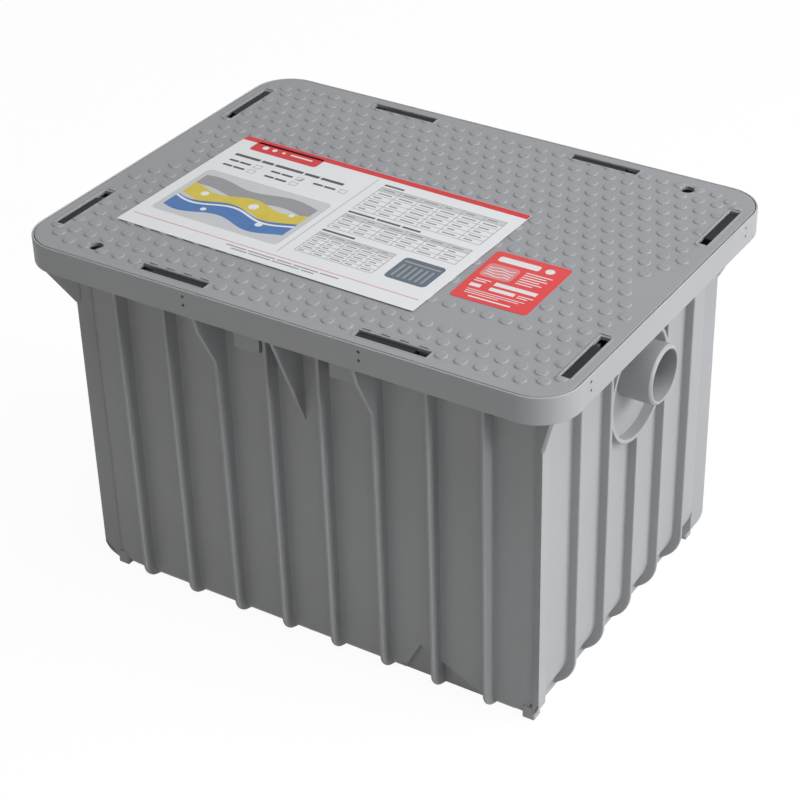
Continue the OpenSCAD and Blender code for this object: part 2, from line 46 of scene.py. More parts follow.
print("frame loaded:", len(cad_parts), "nodes")


# shader helpers

def newMaterial(name):
    mat = bpy.data.materials.new(name)
    mat.use_nodes = True
    return mat, mat.node_tree, mat.node_tree.nodes["Principled BSDF"]


def addNode(tree, kind, values=None, **settings):
    node = tree.nodes.new(kind)
    for key, value in settings.items():
        setattr(node, key, value)
    for key, value in (values or {}).items():
        node.inputs[key].default_value = value
    return node


def newGroup(name, inputs, outputs):
    group = bpy.data.node_groups.new(name, "ShaderNodeTree")
    for title, kind, value in inputs:
        socket = group.interface.new_socket(title, in_out="INPUT", socket_type="NodeSocket" + kind)
        socket.default_value = value
    for title, kind in outputs:
        group.interface.new_socket(title, in_out="OUTPUT", socket_type="NodeSocket" + kind)
    return group, group.nodes.new("NodeGroupInput"), group.nodes.new("NodeGroupOutput")


def mixColours(group, gin, gout, factor):
    colour = addNode(group, "ShaderNodeMix", data_type="RGBA")  # sockets 6 and 7 are its two colours
    group.links.new(factor, colour.inputs["Factor"])
    group.links.new(gin.outputs["Dark"], colour.inputs[6])
    group.links.new(gin.outputs["Light"], colour.inputs[7])
    group.links.new(colour.outputs[2], gout.inputs["Color"])


noiseRange = {"From Min": 0.3, "From Max": 0.7}  # where most of a noise lies
cloudShare, speckShare = 0.7, 0.3


# moulded grain for every plastic piece: soft clouds in the colour, fine specks in the gloss and the height
def makeMouldGrain():
    group, gin, gout = newGroup("mouldGrain", (
        ("Light", "Color", (0.4, 0.4, 0.4, 1)),
        ("Dark", "Color", (0.3, 0.3, 0.3, 1)),
        ("Grain Scale", "Float", 1500.0),
        ("Cloud Scale", "Float", 9.0),
        ("Rough Low", "Float", 0.42),
        ("Rough High", "Float", 0.58),
    ), (("Color", "Color"), ("Roughness", "Float"), ("Height", "Float")))
    link = group.links.new
    place = addNode(group, "ShaderNodeTexCoord")
    cloud = addNode(group, "ShaderNodeTexNoise", {"Detail": 4.0, "Roughness": 0.6})
    speck = addNode(group, "ShaderNodeTexNoise", {"Detail": 2.0, "Roughness": 0.55})
    link(place.outputs["Object"], cloud.inputs["Vector"])
    link(place.outputs["Object"], speck.inputs["Vector"])
    link(gin.outputs["Cloud Scale"], cloud.inputs["Scale"])
    link(gin.outputs["Grain Scale"], speck.inputs["Scale"])
    fine = addNode(group, "ShaderNodeMath", {1: speckShare}, operation="MULTIPLY")
    link(speck.outputs["Fac"], fine.inputs[0])
    mixed = addNode(group, "ShaderNodeMath", {1: cloudShare}, operation="MULTIPLY_ADD")
    link(cloud.outputs["Fac"], mixed.inputs[0])
    link(fine.outputs[0], mixed.inputs[2])
    spread = addNode(group, "ShaderNodeMapRange", noiseRange)
    link(mixed.outputs[0], spread.inputs["Value"])
    mixColours(group, gin, gout, spread.outputs[0])
    rough = addNode(group, "ShaderNodeMapRange", noiseRange)
    link(speck.outputs["Fac"], rough.inputs["Value"])
    link(gin.outputs["Rough Low"], rough.inputs["To Min"])
    link(gin.outputs["Rough High"], rough.inputs["To Max"])
    link(rough.outputs[0], gout.inputs["Roughness"])
    link(speck.outputs["Fac"], gout.inputs["Height"])
    return group


# paper: faint clouds in the colour, fibres and slow waves in the height
def makePaperGrain():
    group, gin, gout = newGroup("paperGrain", (
        ("Light", "Color", (0.8, 0.8, 0.8, 1)),
        ("Dark", "Color", (0.7, 0.7, 0.7, 1)),
        ("Cloud Scale", "Float", 18.0),
        ("Fibre Scale", "Float", 700.0),
        ("Wave Scale", "Float", 11.0),
        ("Fibre Share", "Float", 0.02),
    ), (("Color", "Color"), ("Height", "Float")))
    link = group.links.new
    place = addNode(group, "ShaderNodeTexCoord")
    details = {"Cloud Scale": 3.0, "Fibre Scale": 2.0, "Wave Scale": 1.0}
    noise = {}
    for title, detail in details.items():
        noise[title] = addNode(group, "ShaderNodeTexNoise", {"Detail": detail})
        link(place.outputs["Object"], noise[title].inputs["Vector"])
        link(gin.outputs[title], noise[title].inputs["Scale"])
    mixColours(group, gin, gout, noise["Cloud Scale"].outputs["Fac"])
    height = addNode(group, "ShaderNodeMath", operation="MULTIPLY_ADD")
    link(noise["Fibre Scale"].outputs["Fac"], height.inputs[0])
    link(gin.outputs["Fibre Share"], height.inputs[1])
    link(noise["Wave Scale"].outputs["Fac"], height.inputs[2])
    link(height.outputs[0], gout.inputs["Height"])
    return group


mouldGrain = makeMouldGrain()
paperGrain = makePaperGrain()


def dressed(name, group, look, fixed):
    mat, tree, shader = newMaterial(name)
    grain = addNode(tree, "ShaderNodeGroup", node_tree=group)
    for socket in grain.inputs:
        if socket.name in look:
            socket.default_value = look[socket.name]
    for output, target in (("Color", "Base Color"), ("Roughness", "Roughness")):
        if output in grain.outputs:
            tree.links.new(grain.outputs[output], shader.inputs[target])
    bump = addNode(tree, "ShaderNodeBump", {"Strength": look["bump"], "Distance": look["depth"]})
    tree.links.new(grain.outputs["Height"], bump.inputs["Height"])
    tree.links.new(bump.outputs["Normal"], shader.inputs["Normal"])
    for key, value in fixed.items():
        shader.inputs[key].default_value = value
    return mat


plasticIor = 1.49
plasticLooks = {
    "tubPlastic": {"Light": (0.40, 0.405, 0.41, 1), "Dark": (0.37, 0.375, 0.38, 1),
                   "Grain Scale": 1100.0, "Cloud Scale": 7.0, "Rough Low": 0.46, "Rough High": 0.6,
                   "bump": 0.25, "depth": 0.3 * mm, "gloss": 0.5},
    "lidPlastic": {"Light": (0.318, 0.325, 0.334, 1), "Dark": (0.285, 0.292, 0.301, 1),
                   "Grain Scale": 900.0, "Cloud Scale": 11.0, "Rough Low": 0.44, "Rough High": 0.62,
                   "bump": 0.35, "depth": 0.4 * mm, "gloss": 0.5},
    "latchPlastic": {"Light": (0.010, 0.010, 0.0105, 1), "Dark": (0.006, 0.006, 0.0065, 1),
                     "Grain Scale": 1400.0, "Cloud Scale": 40.0, "Rough Low": 0.5, "Rough High": 0.65,
                     "bump": 0.2, "depth": 0.2 * mm, "gloss": 0.22},
    "bafflePlastic": {"Light": (0.33, 0.335, 0.345, 1), "Dark": (0.28, 0.285, 0.295, 1),
                      "Grain Scale": 1100.0, "Cloud Scale": 10.0, "Rough Low": 0.45, "Rough High": 0.6,
                      "bump": 0.25, "depth": 0.3 * mm, "gloss": 0.5},
    "gasketRubber": {"Light": (0.03, 0.03, 0.03, 1), "Dark": (0.018, 0.018, 0.018, 1),
                     "Grain Scale": 1800.0, "Cloud Scale": 30.0, "Rough Low": 0.65, "Rough High": 0.85,
                     "bump": 0.3, "depth": 0.2 * mm, "gloss": 0.5},
}
plastics = {name: dressed(name, mouldGrain, look, {"IOR": plasticIor, "Specular IOR Level": look["gloss"]})
            for name, look in plasticLooks.items()}
print("plastics ready:", len(plastics))

paperRelief = {"bump": 0.35, "depth": 2.0 * mm}


def inkLook(red, green, blue, shade=0.88, cloud=18.0, rough=0.5):
    light, dark = (red, green, blue, 1), (red * shade, green * shade, blue * shade, 1)
    return {"Light": light, "Dark": dark, "Cloud Scale": cloud, "rough": rough, **paperRelief}


inkLooks = {
    "sheetPaper": inkLook(0.81, 0.81, 0.82, 0.94),
    "inkRed": inkLook(0.62, 0.022, 0.025),
    "inkGrey": inkLook(0.30, 0.30, 0.31),
    "inkPale": inkLook(0.60, 0.61, 0.62),
    "inkDark": inkLook(0.05, 0.05, 0.055),
    "inkBlue": inkLook(0.06, 0.19, 0.48, 0.6, 60.0),
    "inkYellow": inkLook(0.70, 0.55, 0.06, 0.8, 60.0),
    "inkSlate": inkLook(0.10, 0.14, 0.18, 0.75, 50.0),
    "filmRed": inkLook(0.74, 0.026, 0.03, 0.92, 18.0, 0.34),
    "filmWhite": inkLook(0.78, 0.78, 0.78, 0.92, 18.0, 0.4),
    "filmPink": inkLook(0.70, 0.22, 0.22, 0.9, 40.0, 0.38),
}
inks = {name: dressed(name, paperGrain, look, {"Roughness": look["rough"]})
        for name, look in inkLooks.items()}
print("papers and inks ready:", len(inks))


# mesh helpers

def finishPiece(bm, name, body, materials, replaced, smooth):
    mesh = bpy.data.meshes.new(name)
    bm.to_mesh(mesh)
    bm.free()
    for mat in materials:
        mesh.materials.append(mat)
    mesh.shade_smooth()
    mesh.set_sharp_from_angle(angle=math.radians(smooth))
    piece = bpy.data.objects.new(name, mesh)
    bpy.context.scene.collection.objects.link(piece)
    piece.modifiers.new("weighted", "WEIGHTED_NORMAL").keep_sharp = True
    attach(piece, body)
    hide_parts(replaced)
    print(name, "built:", len(mesh.polygons), "faces")
    return piece


def cleanCopy(node, flat):
    bm = bmesh.new()
    bm.from_mesh(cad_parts[node].data)
    bmesh.ops.remove_doubles(bm, verts=bm.verts, dist=tiny)
    if flat:
        bmesh.ops.dissolve_limit(bm, angle_limit=math.radians(flat), verts=bm.verts, edges=bm.edges)
    return bm


def sharpEdges(bm, look, left=()):
    limit = math.radians(look["sharp"])
    edges = [e for e in bm.edges if len(e.link_faces) == 2 and e.calc_face_angle(0.0) > limit]
    if look["outerOnly"]:
        edges = [e for e in edges if e.is_convex]
    return [e for e in edges if not any(f in left for f in e.link_faces)]


def roundEdges(bm, edges, size, segments):
    bmesh.ops.bevel(bm, geom=edges, offset=size, offset_type="OFFSET", segments=segments,
                    profile=0.5, affect="EDGES", clamp_overlap=False, material=-1, loop_slide=True)


def keepInside(bm, node):
    low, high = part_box(node)
    for v in bm.verts:
        v.co = [min(max(c, a), b) for c, a, b in zip(v.co, low, high)]


def roundRect(cx, cy, length, width, radius, steps=5):
    points = []
    for sx, sy, start in ((1, 1, 0), (-1, 1, 90), (-1, -1, 180), (1, -1, 270)):
        for i in range(steps + 1):
            a = math.radians(start + 90 * i / steps)
            points.append((cx + sx * (length / 2 - radius) + radius * math.cos(a),
                           cy + sy * (width / 2 - radius) + radius * math.sin(a)))
    return points


def ring(bm, points, z):
    verts = [bm.verts.new((x, y, z)) for x, y in points]
    return [bm.edges.new((verts[i - 1], verts[i])) for i in range(len(verts))]


def fillFlat(bm, edges):
    made = bmesh.ops.triangle_fill(bm, use_beauty=True, use_dissolve=False, edges=edges, normal=(0, 0, 1))
    for face in made["geom"]:
        if isinstance(face, bmesh.types.BMFace) and face.normal.z < 0:
            face.normal_flip()


# tub, latches, baffles and gasket: the frame's own shapes with rounded edges

tubShape = {"flat": 0.2, "sharp": 28.0, "outerOnly": False, "smooth": 24.0, "round": 0.8 * mm, "segments": 2,
            "finRound": 1.5 * mm, "finSegments": 4, "finHalf": 2.0 * mm, "finSlack": 0.02 * mm,
            "frontFins": (0, 28.2 * mm, 84.6 * mm, 141 * mm, 197.4 * mm), "frontLine": 160.5 * mm,
            "endFins": (0, 56.4 * mm, 112.8 * mm), "endLine": 236 * mm, "ground": 1.0 * mm,
            "sliver": 0.2 * mm, "thin": 0.7 * mm, "thinTall": 1.7 * mm, "rimUnder": 359 * mm}
smallShape = {"flat": 0.2, "sharp": 28.0, "outerOnly": True, "smooth": 35.0, "round": 0.5 * mm, "segments": 2}
gasketShape = {**smallShape, "flat": 0}  # the ring stays in triangles


def finEdge(edge, look):  # true for the outer edges of the fins, which are rounder than the rest
    a, b = (v.co for v in edge.verts)
    walls = ((0, look["frontFins"], look["frontLine"]), (1, look["endFins"], look["endLine"]))
    for axis, rows, line in walls:
        if abs(a[axis] - b[axis]) < tiny and min(abs(a[1 - axis]), abs(b[1 - axis])) > line:
            if any(abs(abs(abs(a[axis]) - row) - look["finHalf"]) < look["finSlack"] for row in rows):
                return edge.is_convex
    return False


def atRim(height, look):
    return abs(height - look["rimUnder"]) < tiny


def underRim(face, look):
    return atRim(max(v.co.z for v in face.verts), look)


def thinFaces(bm, look):  # too narrow to round both sides; the tall ones end under the rim
    width = {f: 2 * f.calc_area() / f.calc_perimeter() for f in bm.faces}
    return {f for f in bm.faces if width[f] < look["thinTall" if underRim(f, look) else "thin"]}


def standingEdges(bm, look):  # leaves out edges on the ground, of hair-thin faces and inside under the rim
    edges = sharpEdges(bm, look, thinFaces(bm, look))
    hidden = {e for e in edges if not e.is_convex and all(atRim(v.co.z, look) for v in e.verts)}
    return [e for e in edges if e not in hidden and max(v.co.z for v in e.verts) > look["ground"]]


def nearSides(face, look):  # a corner of the face that lies close to one of its far edges
    for v in face.verts:
        for e in face.edges:
            a, b = (end.co for end in e.verts)
            long = (b - a).length
            along = (v.co - a).dot(b - a) / long
            if look["sliver"] < along < long - look["sliver"]:
                if (a + (b - a) * along / long - v.co).length < look["sliver"]:
                    return v, e, along / long
    return None


def closeSteps(bm, look):  # the hair-thin step beside a corner wedge is split off and its sides are joined
    thin = thinFaces(bm, look)
    for face in [f for f in bm.faces if f in thin and underRim(f, look)]:
        found = nearSides(face, look)
        if found:
            v, e, share = found
            made = bmesh.utils.edge_split(e, e.verts[0], share)[1]
            bmesh.utils.face_split(face, v, made)
            print("step closed at height", round(v.co.z / mm, 1))
    bmesh.ops.remove_doubles(bm, verts=bm.verts, dist=look["sliver"])
    bmesh.ops.dissolve_degenerate(bm, dist=tiny, edges=bm.edges)


def buildTub(look):
    bm = cleanCopy("tub", look["flat"])
    closeSteps(bm, look)
    fins = [e for e in standingEdges(bm, look) if finEdge(e, look)]
    print("fin edges:", len(fins))
    roundEdges(bm, fins, look["finRound"], look["finSegments"])
    roundEdges(bm, standingEdges(bm, look), look["round"], look["segments"])
    keepInside(bm, "tub")
    return finishPiece(bm, "tub_shell", "tub", [plastics["tubPlastic"]], "tub", look["smooth"])


def roundedCopy(node, name, body, material, look):
    bm = cleanCopy(node, look["flat"])
    roundEdges(bm, sharpEdges(bm, look), look["round"], look["segments"])
    keepInside(bm, node)
    return finishPiece(bm, name, body, [plastics[material]], node, look["smooth"])


buildTub(tubShape)
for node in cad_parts:
    if node.startswith("latch_"):
        roundedCopy(node, node + "_block", node, "latchPlastic", smallShape)
    elif node.endswith("_baffle"):
        roundedCopy(node, node + "_plate", "tub", "bafflePlastic", smallShape)
roundedCopy("lid_gasket", "gasket_ring", "tub", "gasketRubber", gasketShape)


# lid: the frame's plate and ribs, with a new top face, rounded studs and slot borders

lidShape = {"flat": 0.2, "sharp": 28.0, "outerOnly": True, "smooth": 35.0, "round": 0.6 * mm, "segments": 2,
            "studH": 1.0 * mm, "studTop": 10.6 * mm, "studSides": 16, "wholeShare": 0.96,
            "studRings": ((5.95, -0.05), (5.75, 0.45), (5.35, 0.82), (4.75, 0.97), (2.6, 0.98)),  # mm
            "borderW": 2.5 * mm, "borderH": 0.3 * mm, "borderEdge": 0.25 * mm,
            "holeD": 13.5 * mm, "holes": ((-209 * mm, -186 * mm), (209 * mm, 186 * mm)), "holeSides": 48}


def islands(faces):
    left, groups = set(faces), []
    for seed in faces:
        if seed not in left:
            continue
        left.remove(seed)
        group, todo = [seed], [seed]
        while todo:
            for edge in todo.pop().edges:
                for other in edge.link_faces:
                    if other in left:
                        left.remove(other)
                        group.append(other)
                        todo.append(other)
        groups.append(group)
    return groups


def splitLoops(edges):  # the edges of one slot at a time
    loops = []
    while edges:
        loop, todo = [edges[0]], [edges[0]]
        edges = edges[1:]
        while todo:
            ends = todo.pop().verts
            near = [e for e in edges if any(v in ends for v in e.verts)]
            edges = [e for e in edges if e not in near]
            loop += near
            todo += near
        loops.append(loop)
    return loops


def spanOf(verts):
    xs, ys = [v.co.x for v in verts], [v.co.y for v in verts]
    return (min(xs) + max(xs)) / 2, (min(ys) + max(ys)) / 2, max(xs) - min(xs), max(ys) - min(ys)


def makeStud(look):
    bm = bmesh.new()
    verts = [bm.verts.new((r * mm, 0, h * mm)) for r, h in look["studRings"]]
    edges = [bm.edges.new(pair) for pair in zip(verts, verts[1:])]
    bmesh.ops.spin(bm, geom=verts + edges, cent=(0, 0, 0), axis=(0, 0, 1), angle=2 * math.pi,
                   steps=look["studSides"], use_merge=True, use_normal_flip=False)
    inner = look["studRings"][-1][0] * mm + tiny
    lip = [e for e in bm.edges if e.is_boundary and all(v.co.xy.length < inner for v in e.verts)]
    bmesh.ops.edgeloop_fill(bm, edges=lip)
    bmesh.ops.recalc_face_normals(bm, faces=bm.faces)
    if max(bm.faces, key=lambda f: len(f.verts)).normal.z < 0:
        bmesh.ops.reverse_faces(bm, faces=bm.faces)
    mesh = bpy.data.meshes.new("stud")
    bm.to_mesh(mesh)
    bm.free()
    return mesh


def sortStuds(caps, sides, look):  # middles of the whole studs, and the faces of those that are cut
    whole = look["wholeShare"] * math.pi * look["studTop"] ** 2 / 4
    sites, partial = [], set()
    for group in islands(caps):
        if sum(f.calc_area() for f in group) > whole:
            sites.append(spanOf([v for f in group for v in f.verts])[:2])
        else:
            partial.update(group)
    for group in islands(sides):  # a cut stud keeps the frame's own faces
        if any(f in partial for f in group):
            partial.update(group)
    return sites, partial


def addStuds(bm, sites, top, look):
    stud = makeStud(look)
    last = Vector((0, 0, 0))
    for x, y in sorted(sites):
        here = Vector((x, y, top))
        stud.transform(Matrix.Translation(here - last))
        bm.from_mesh(stud)
        last = here


def nearHole(vert, look):
    return any(math.hypot(vert.co.x - x, vert.co.y - y) < look["holeD"] / 2 + tiny for x, y in look["holes"])


def slotBorder(bm, loop, top, border, look):  # the low raised edge around one slot
    x, y, sx, sy = spanOf([v for e in loop for v in e.verts])
    wide, inner = look["borderW"], look["borderW"] - look["borderEdge"]
    foot = ring(bm, roundRect(x, y, sx + 2 * wide, sy + 2 * wide, wide), top)
    crest = ring(bm, roundRect(x, y, sx + 2 * inner, sy + 2 * inner, inner), border)
    bmesh.ops.bridge_loops(bm, edges=foot + crest)
    fillFlat(bm, crest + loop)
    return foot


def buildLid(look):
    bm = cleanCopy("lid", 0)
    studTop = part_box("lid")[1][2]
    top = studTop - look["studH"]
    border = top + look["borderH"]
    raised = [f for f in bm.faces if all(v.co.z > top - tiny for v in f.verts)]
    sides = [f for f in raised if max(v.co.z for v in f.verts) > border + tiny]
    caps = [f for f in sides if all(v.co.z > studTop - tiny for v in f.verts)]
    sites, partial = sortStuds(caps, sides, look)
    bmesh.ops.delete(bm, geom=[f for f in raised if f not in partial], context="FACES")
    bmesh.ops.dissolve_limit(bm, angle_limit=math.radians(look["flat"]),
                             verts=[v for v in bm.verts if v.co.z < top - tiny],
                             edges=[e for e in bm.edges if all(v.co.z < top - tiny for v in e.verts)])
    loose = [e for e in bm.edges if e.is_boundary and e.link_faces[0] not in partial]
    plate = [e for e in loose if all(abs(v.co.z - top) < tiny and not nearHole(v, look) for v in e.verts)]
    slots = splitLoops([e for e in loose if all(abs(v.co.z - border) < tiny for v in e.verts)])
    for x, y in look["holes"]:
        circle = bmesh.ops.create_circle(bm, segments=look["holeSides"], radius=look["holeD"] / 2,
                                         matrix=Matrix.Translation((x, y, top)))
        plate += dict.fromkeys(e for v in circle["verts"] for e in v.link_edges)
    for loop in slots:
        plate += slotBorder(bm, loop, top, border, look)
    fillFlat(bm, plate)
    print("lid slots:", len(slots), "whole studs:", len(sites), "cut stud faces:", len(partial))
    roundEdges(bm, sharpEdges(bm, look, partial), look["round"], look["segments"])
    keepInside(bm, "lid")
    addStuds(bm, sites, top, look)
    return finishPiece(bm, "lid_shell", "lid", [plastics["lidPlastic"]], "lid", look["smooth"])


buildLid(lidShape)


# flat prints, in mm: every patch is laid a hair over its sheet, and the whole sheet is turned at the end

layer = {"sheet": 0, "back": 0.02, "ink": 0.03, "line": 0.04, "over": 0.05, "crest": 0.06, "dot": 0.07}
gridStep = {"patch": 12.0, "wave": 3.0, "word": 30.0, "strip": 40.0, "rule": 60.0}


class Print:
    def __init__(self, node, look):
        low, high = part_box(node)
        self.bm = bmesh.new()
        self.middle = Vector(((low[0] + high[0]) / 2, (low[1] + high[1]) / 2, 0))
        self.left = self.middle.x - look["length"] / 2 * mm
        self.front = self.middle.y - look["width"] / 2 * mm
        self.names, self.level, self.turn = look["inks"], low[2] + look["lift"], look["turn"]

    def place(self, u, v):
        return self.left + u * mm, self.front + v * mm

    def turned(self):
        bmesh.ops.rotate(self.bm, verts=self.bm.verts, cent=self.middle,
                         matrix=Matrix.Rotation(math.radians(self.turn), 3, "Z"))
        return self.bm

    def cutEdge(self, thick):  # the edge of the sheet, down to what it lies on
        rim = [e for e in self.bm.edges if e.is_boundary]
        for v in bmesh.ops.extrude_edge_only(self.bm, edges=rim)["geom"]:
            if isinstance(v, bmesh.types.BMVert):
                v.co.z -= thick

    def lay(self, verts, ink, height):
        for v in verts:
            v.co.z = self.level + layer[height] * mm
        for face in {f for v in verts for f in v.link_faces}:
            face.material_index = self.names.index(ink)
            if face.normal.z < 0:
                face.normal_flip()

    def bar(self, u0, v0, u1, v1, ink, height="ink", grid="patch"):
        x, y = self.place((u0 + u1) / 2, (v0 + v1) / 2)
        size = Matrix.Translation((x, y, 0)) @ Matrix.Diagonal(((u1 - u0) * mm, (v1 - v0) * mm, 1, 1))
        across, along = (max(1, round(span / gridStep[grid])) for span in (u1 - u0, v1 - v0))
        made = bmesh.ops.create_grid(self.bm, x_segments=across, y_segments=along, size=0.5, matrix=size)
        self.lay(made["verts"], ink, height)
        return made["verts"]

    def box(self, u0, v0, u1, v1, line, ink, height="ink"):
        for a, b, c, d in ((u0, v0, u1, v0 + line), (u0, v1 - line, u1, v1),
                           (u0, v0 + line, u0 + line, v1 - line), (u1 - line, v0 + line, u1, v1 - line)):
            self.bar(a, b, c, d, ink, height)

    def disc(self, u, v, radius, ink, height="ink", sides=28):
        x, y = self.place(u, v)
        made = bmesh.ops.create_circle(self.bm, cap_ends=True, segments=sides, radius=radius * mm,
                                       matrix=Matrix.Translation((x, y, 0)))
        self.lay(made["verts"], ink, height)

    def panel(self, u0, v0, u1, v1, radius, ink, height="ink"):
        x, y = self.place((u0 + u1) / 2, (v0 + v1) / 2)
        points = roundRect(x, y, (u1 - u0) * mm, (v1 - v0) * mm, radius * mm)
        verts = [self.bm.verts.new((px, py, 0)) for px, py in points]
        self.bm.faces.new(verts)
        self.bm.normal_update()
        self.lay(verts, ink, height)

    def wave(self, u0, u1, low, high, swing, waves, shift, ink, height="over"):
        verts = self.bar(u0, low, u1, high, ink, height, "wave")
        x0 = self.place(u0, 0)[0]
        for v in verts:
            turn = 2 * math.pi * (waves * (v.co.x - x0) / ((u1 - u0) * mm) + shift)
            v.co.y += swing * mm * math.sin(turn)

    def lines(self, u0, u1, v, shares, thick, gap, ink):
        for i, share in enumerate(shares):
            self.bar(u0, v - i * gap - thick, u0 + (u1 - u0) * share, v - i * gap, ink, "ink", "word")

    def words(self, u, v, widths, thick, ink, space):
        for width in widths:
            self.bar(u, v, u + width, v + thick, ink, "ink", "word")
            u += width + space

    def table(self, u0, v0, u1, v1, columns, rows, line, ink, cell):
        self.box(u0, v0, u1, v1, line, ink, "over")
        self.bar(u0 + line, v1 - (v1 - v0) / rows, u1 - line, v1 - line, "inkPale")
        width, height = (u1 - u0) / columns, (v1 - v0) / rows
        for c in range(1, columns):
            middle = u0 + c * width
            self.bar(middle - line / 2, v0 + line, middle + line / 2, v1 - line, ink, "over", "strip")
        for r in range(1, rows):
            middle = v0 + r * height
            self.bar(u0 + line, middle - line / 2, u1 - line, middle + line / 2, ink, "line", "strip")
        for c in range(columns):
            for r in range(rows):
                uneven = ((3 * c + 5 * r + c * r) % cell["kinds"]) / cell["kinds"]
                share = cell["least"] + cell["spread"] * uneven
                u, v = u0 + (c + cell["left"]) * width, v0 + (r + cell["low"]) * height
                self.bar(u, v, u + share * width, v + cell["thick"] * height, ink, "line", "strip")


# paper sheet on the studs: a red band, panels, tick boxes, waves and tables with no lettering

sheetShape = {
    "length": 329.0, "width": 204.5, "turn": -1.1, "lift": 0.3 * mm, "thick": 0.3 * mm, "smooth": 60.0,
    "inks": ["sheetPaper", "inkRed", "inkGrey", "inkPale", "inkDark", "inkBlue", "inkYellow", "inkSlate"],
    "line": 0.7, "band": 8.5, "bandEdge": 0.3,
    "tab": (18, 180.5, 98, 199, 4), "tabDots": ((32, 190.5, 3.4), (43, 190.5, 2.6), (54, 190.5, 1.9)),
    "tabBar": (62, 189.5, 88, 191.9),
    "words": (  # left, low, widths, height, ink, space
        (14, 163, (30, 14, 33, 17, 26), 4.4, "inkDark", 2.2),
        (177, 184, (22,), 3, "inkDark", 2.2),
        (177, 122, (30, 26, 20), 3, "inkDark", 2.2),
        (177, 80, (36,), 3, "inkDark", 2.2),
        (118, 12, (22, 31, 16, 27, 20), 1.8, "inkGrey", 2.0),
        (126, 8, (18, 24, 30, 14), 1.8, "inkGrey", 2.0),
    ),
    "ticks": ((16, 150), (66, 150), (116, 150), (16, 139), (66, 139)),
    "tickWords": {"up": 1.2, "widths": (11, 13), "thick": 3.2, "space": 1.6}, "tickBox": (30, -0.5, 38, 6.5),
    "mark": (98.5, 150.6, 104.5, 152.4), "markMiddle": (101, 151.5), "markTurn": 52,
    "picture": (12, 34, 158, 126, 6), "waveSpan": (18, 152),
    "waves": (  # low, high, swing, count, shift, ink, layer
        (92, 112, 4.0, 1.5, 0.10, "inkGrey", "ink"),
        (70, 92, 5.0, 1.8, 0.30, "inkYellow", "line"),
        (48, 72, 5.5, 1.6, 0.55, "inkBlue", "over"),
        (66, 69, 5.5, 1.6, 0.50, "sheetPaper", "crest"),
    ),
    "bubbles": ((40, 82, 4.2), (58, 56, 3.0), (96, 84, 5.2), (121, 58, 3.8), (137, 88, 2.8)),
    "divider": (165, 26, 192), "footRule": (6, 18, 323, 18.8),
    "tables": ((177, 130, 317, 181, 6, 6), (177, 88, 317, 119, 6, 4), (177, 36, 262, 77, 5, 6)),
    "cell": {"left": 0.16, "low": 0.38, "thick": 0.26, "least": 0.34, "spread": 0.38, "kinds": 7},
    "slate": (272, 38, 316, 78, 5), "slateBar": (275, 69.5, 313, 72),
    "slateRows": {"count": 6, "left": 277, "wide": 2.4, "gap": 6.2, "low": 43, "high": 66},
}


def buildSheet(look):
    art = Print("info_label", look)
    length, width, line = look["length"], look["width"], look["line"]
    art.bar(0, 0, length, width, "sheetPaper", "sheet")
    art.cutEdge(look["thick"])
    edge = look["bandEdge"]
    art.bar(edge, width - look["band"], length - edge, width - edge, "inkRed")
    art.panel(*look["tab"], "inkRed")
    for dot in look["tabDots"]:
        art.disc(*dot, "sheetPaper", "over")
    art.bar(*look["tabBar"], "sheetPaper", "over")
    for row in look["words"]:
        art.words(*row)
    tick, (left, low, right, high) = look["tickWords"], look["tickBox"]
    for u, v in look["ticks"]:
        art.words(u, v + tick["up"], tick["widths"], tick["thick"], "inkDark", tick["space"])
        art.box(u + left, v + low, u + right, v + high, line, "inkGrey")
    mark = art.bar(*look["mark"], "inkBlue", "over")
    bmesh.ops.rotate(art.bm, verts=mark, cent=Vector((*art.place(*look["markMiddle"]), 0)),
                     matrix=Matrix.Rotation(math.radians(look["markTurn"]), 3, "Z"))
    art.panel(*look["picture"], "inkPale", "back")
    for row in look["waves"]:
        art.wave(*look["waveSpan"], *row)
    for bubble in look["bubbles"]:
        art.disc(*bubble, "sheetPaper", "dot")
    u, low, high = look["divider"]
    art.bar(u, low, u + line, high, "inkGrey", "ink", "rule")
    for row in look["tables"]:
        art.table(*row, line, "inkGrey", look["cell"])
    art.panel(*look["slate"], "inkSlate")
    rows = look["slateRows"]
    for i in range(rows["count"]):
        u = rows["left"] + rows["gap"] * i
        art.bar(u, rows["low"], u + rows["wide"], rows["high"], "inkGrey", "over")
    art.bar(*look["slateBar"], "inkGrey", "over")
    art.bar(*look["footRule"], "inkRed", "ink", "strip")
    return finishPiece(art.turned(), "info_sheet", "lid", [inks[n] for n in look["inks"]],
                       "info_label", look["smooth"])


buildSheet(sheetShape)


# red film sticker on the flat place of the lid, with write-in boxes and no lettering

filmShape = {
    "length": 77.0, "width": 90.5, "turn": 1.0, "lift": 0.3 * mm, "thick": 0.3 * mm, "smooth": 60.0,
    "inks": ["filmRed", "filmWhite", "filmPink"], "radius": 4.0,
    "heading": (8, 73.5, 50, 82.5, 2.5), "dot": (60, 78, 4.5), "field": (5, 43, 37, 68, 5),
    "ripples": {"count": 4, "span": (8, 34), "low": 47, "thick": 1.2, "gap": 4.6, "swing": 1.0, "waves": 1.5,
                "shift": 0.2},
    "boxes": ((27, 32.5, 69, 38.5), (7, 23, 18, 28.5), (27, 23, 52, 28.5), (16, 5.5, 58, 7.6)),
    "lines": (  # left, right, top, shares of the width, height, gap
        (42, 70, 67, (0.95, 0.8, 0.9, 0.7, 0.85, 0.6), 1.5, 4.1),
        (7, 24, 38, (0.9, 0.7), 1.5, 3.6),
        (55, 70, 27.5, (1.0, 0.7), 1.4, 3.2),
        (9, 66, 18.5, (1.0, 0.92, 0.6), 1.1, 3.2),
    ),
}


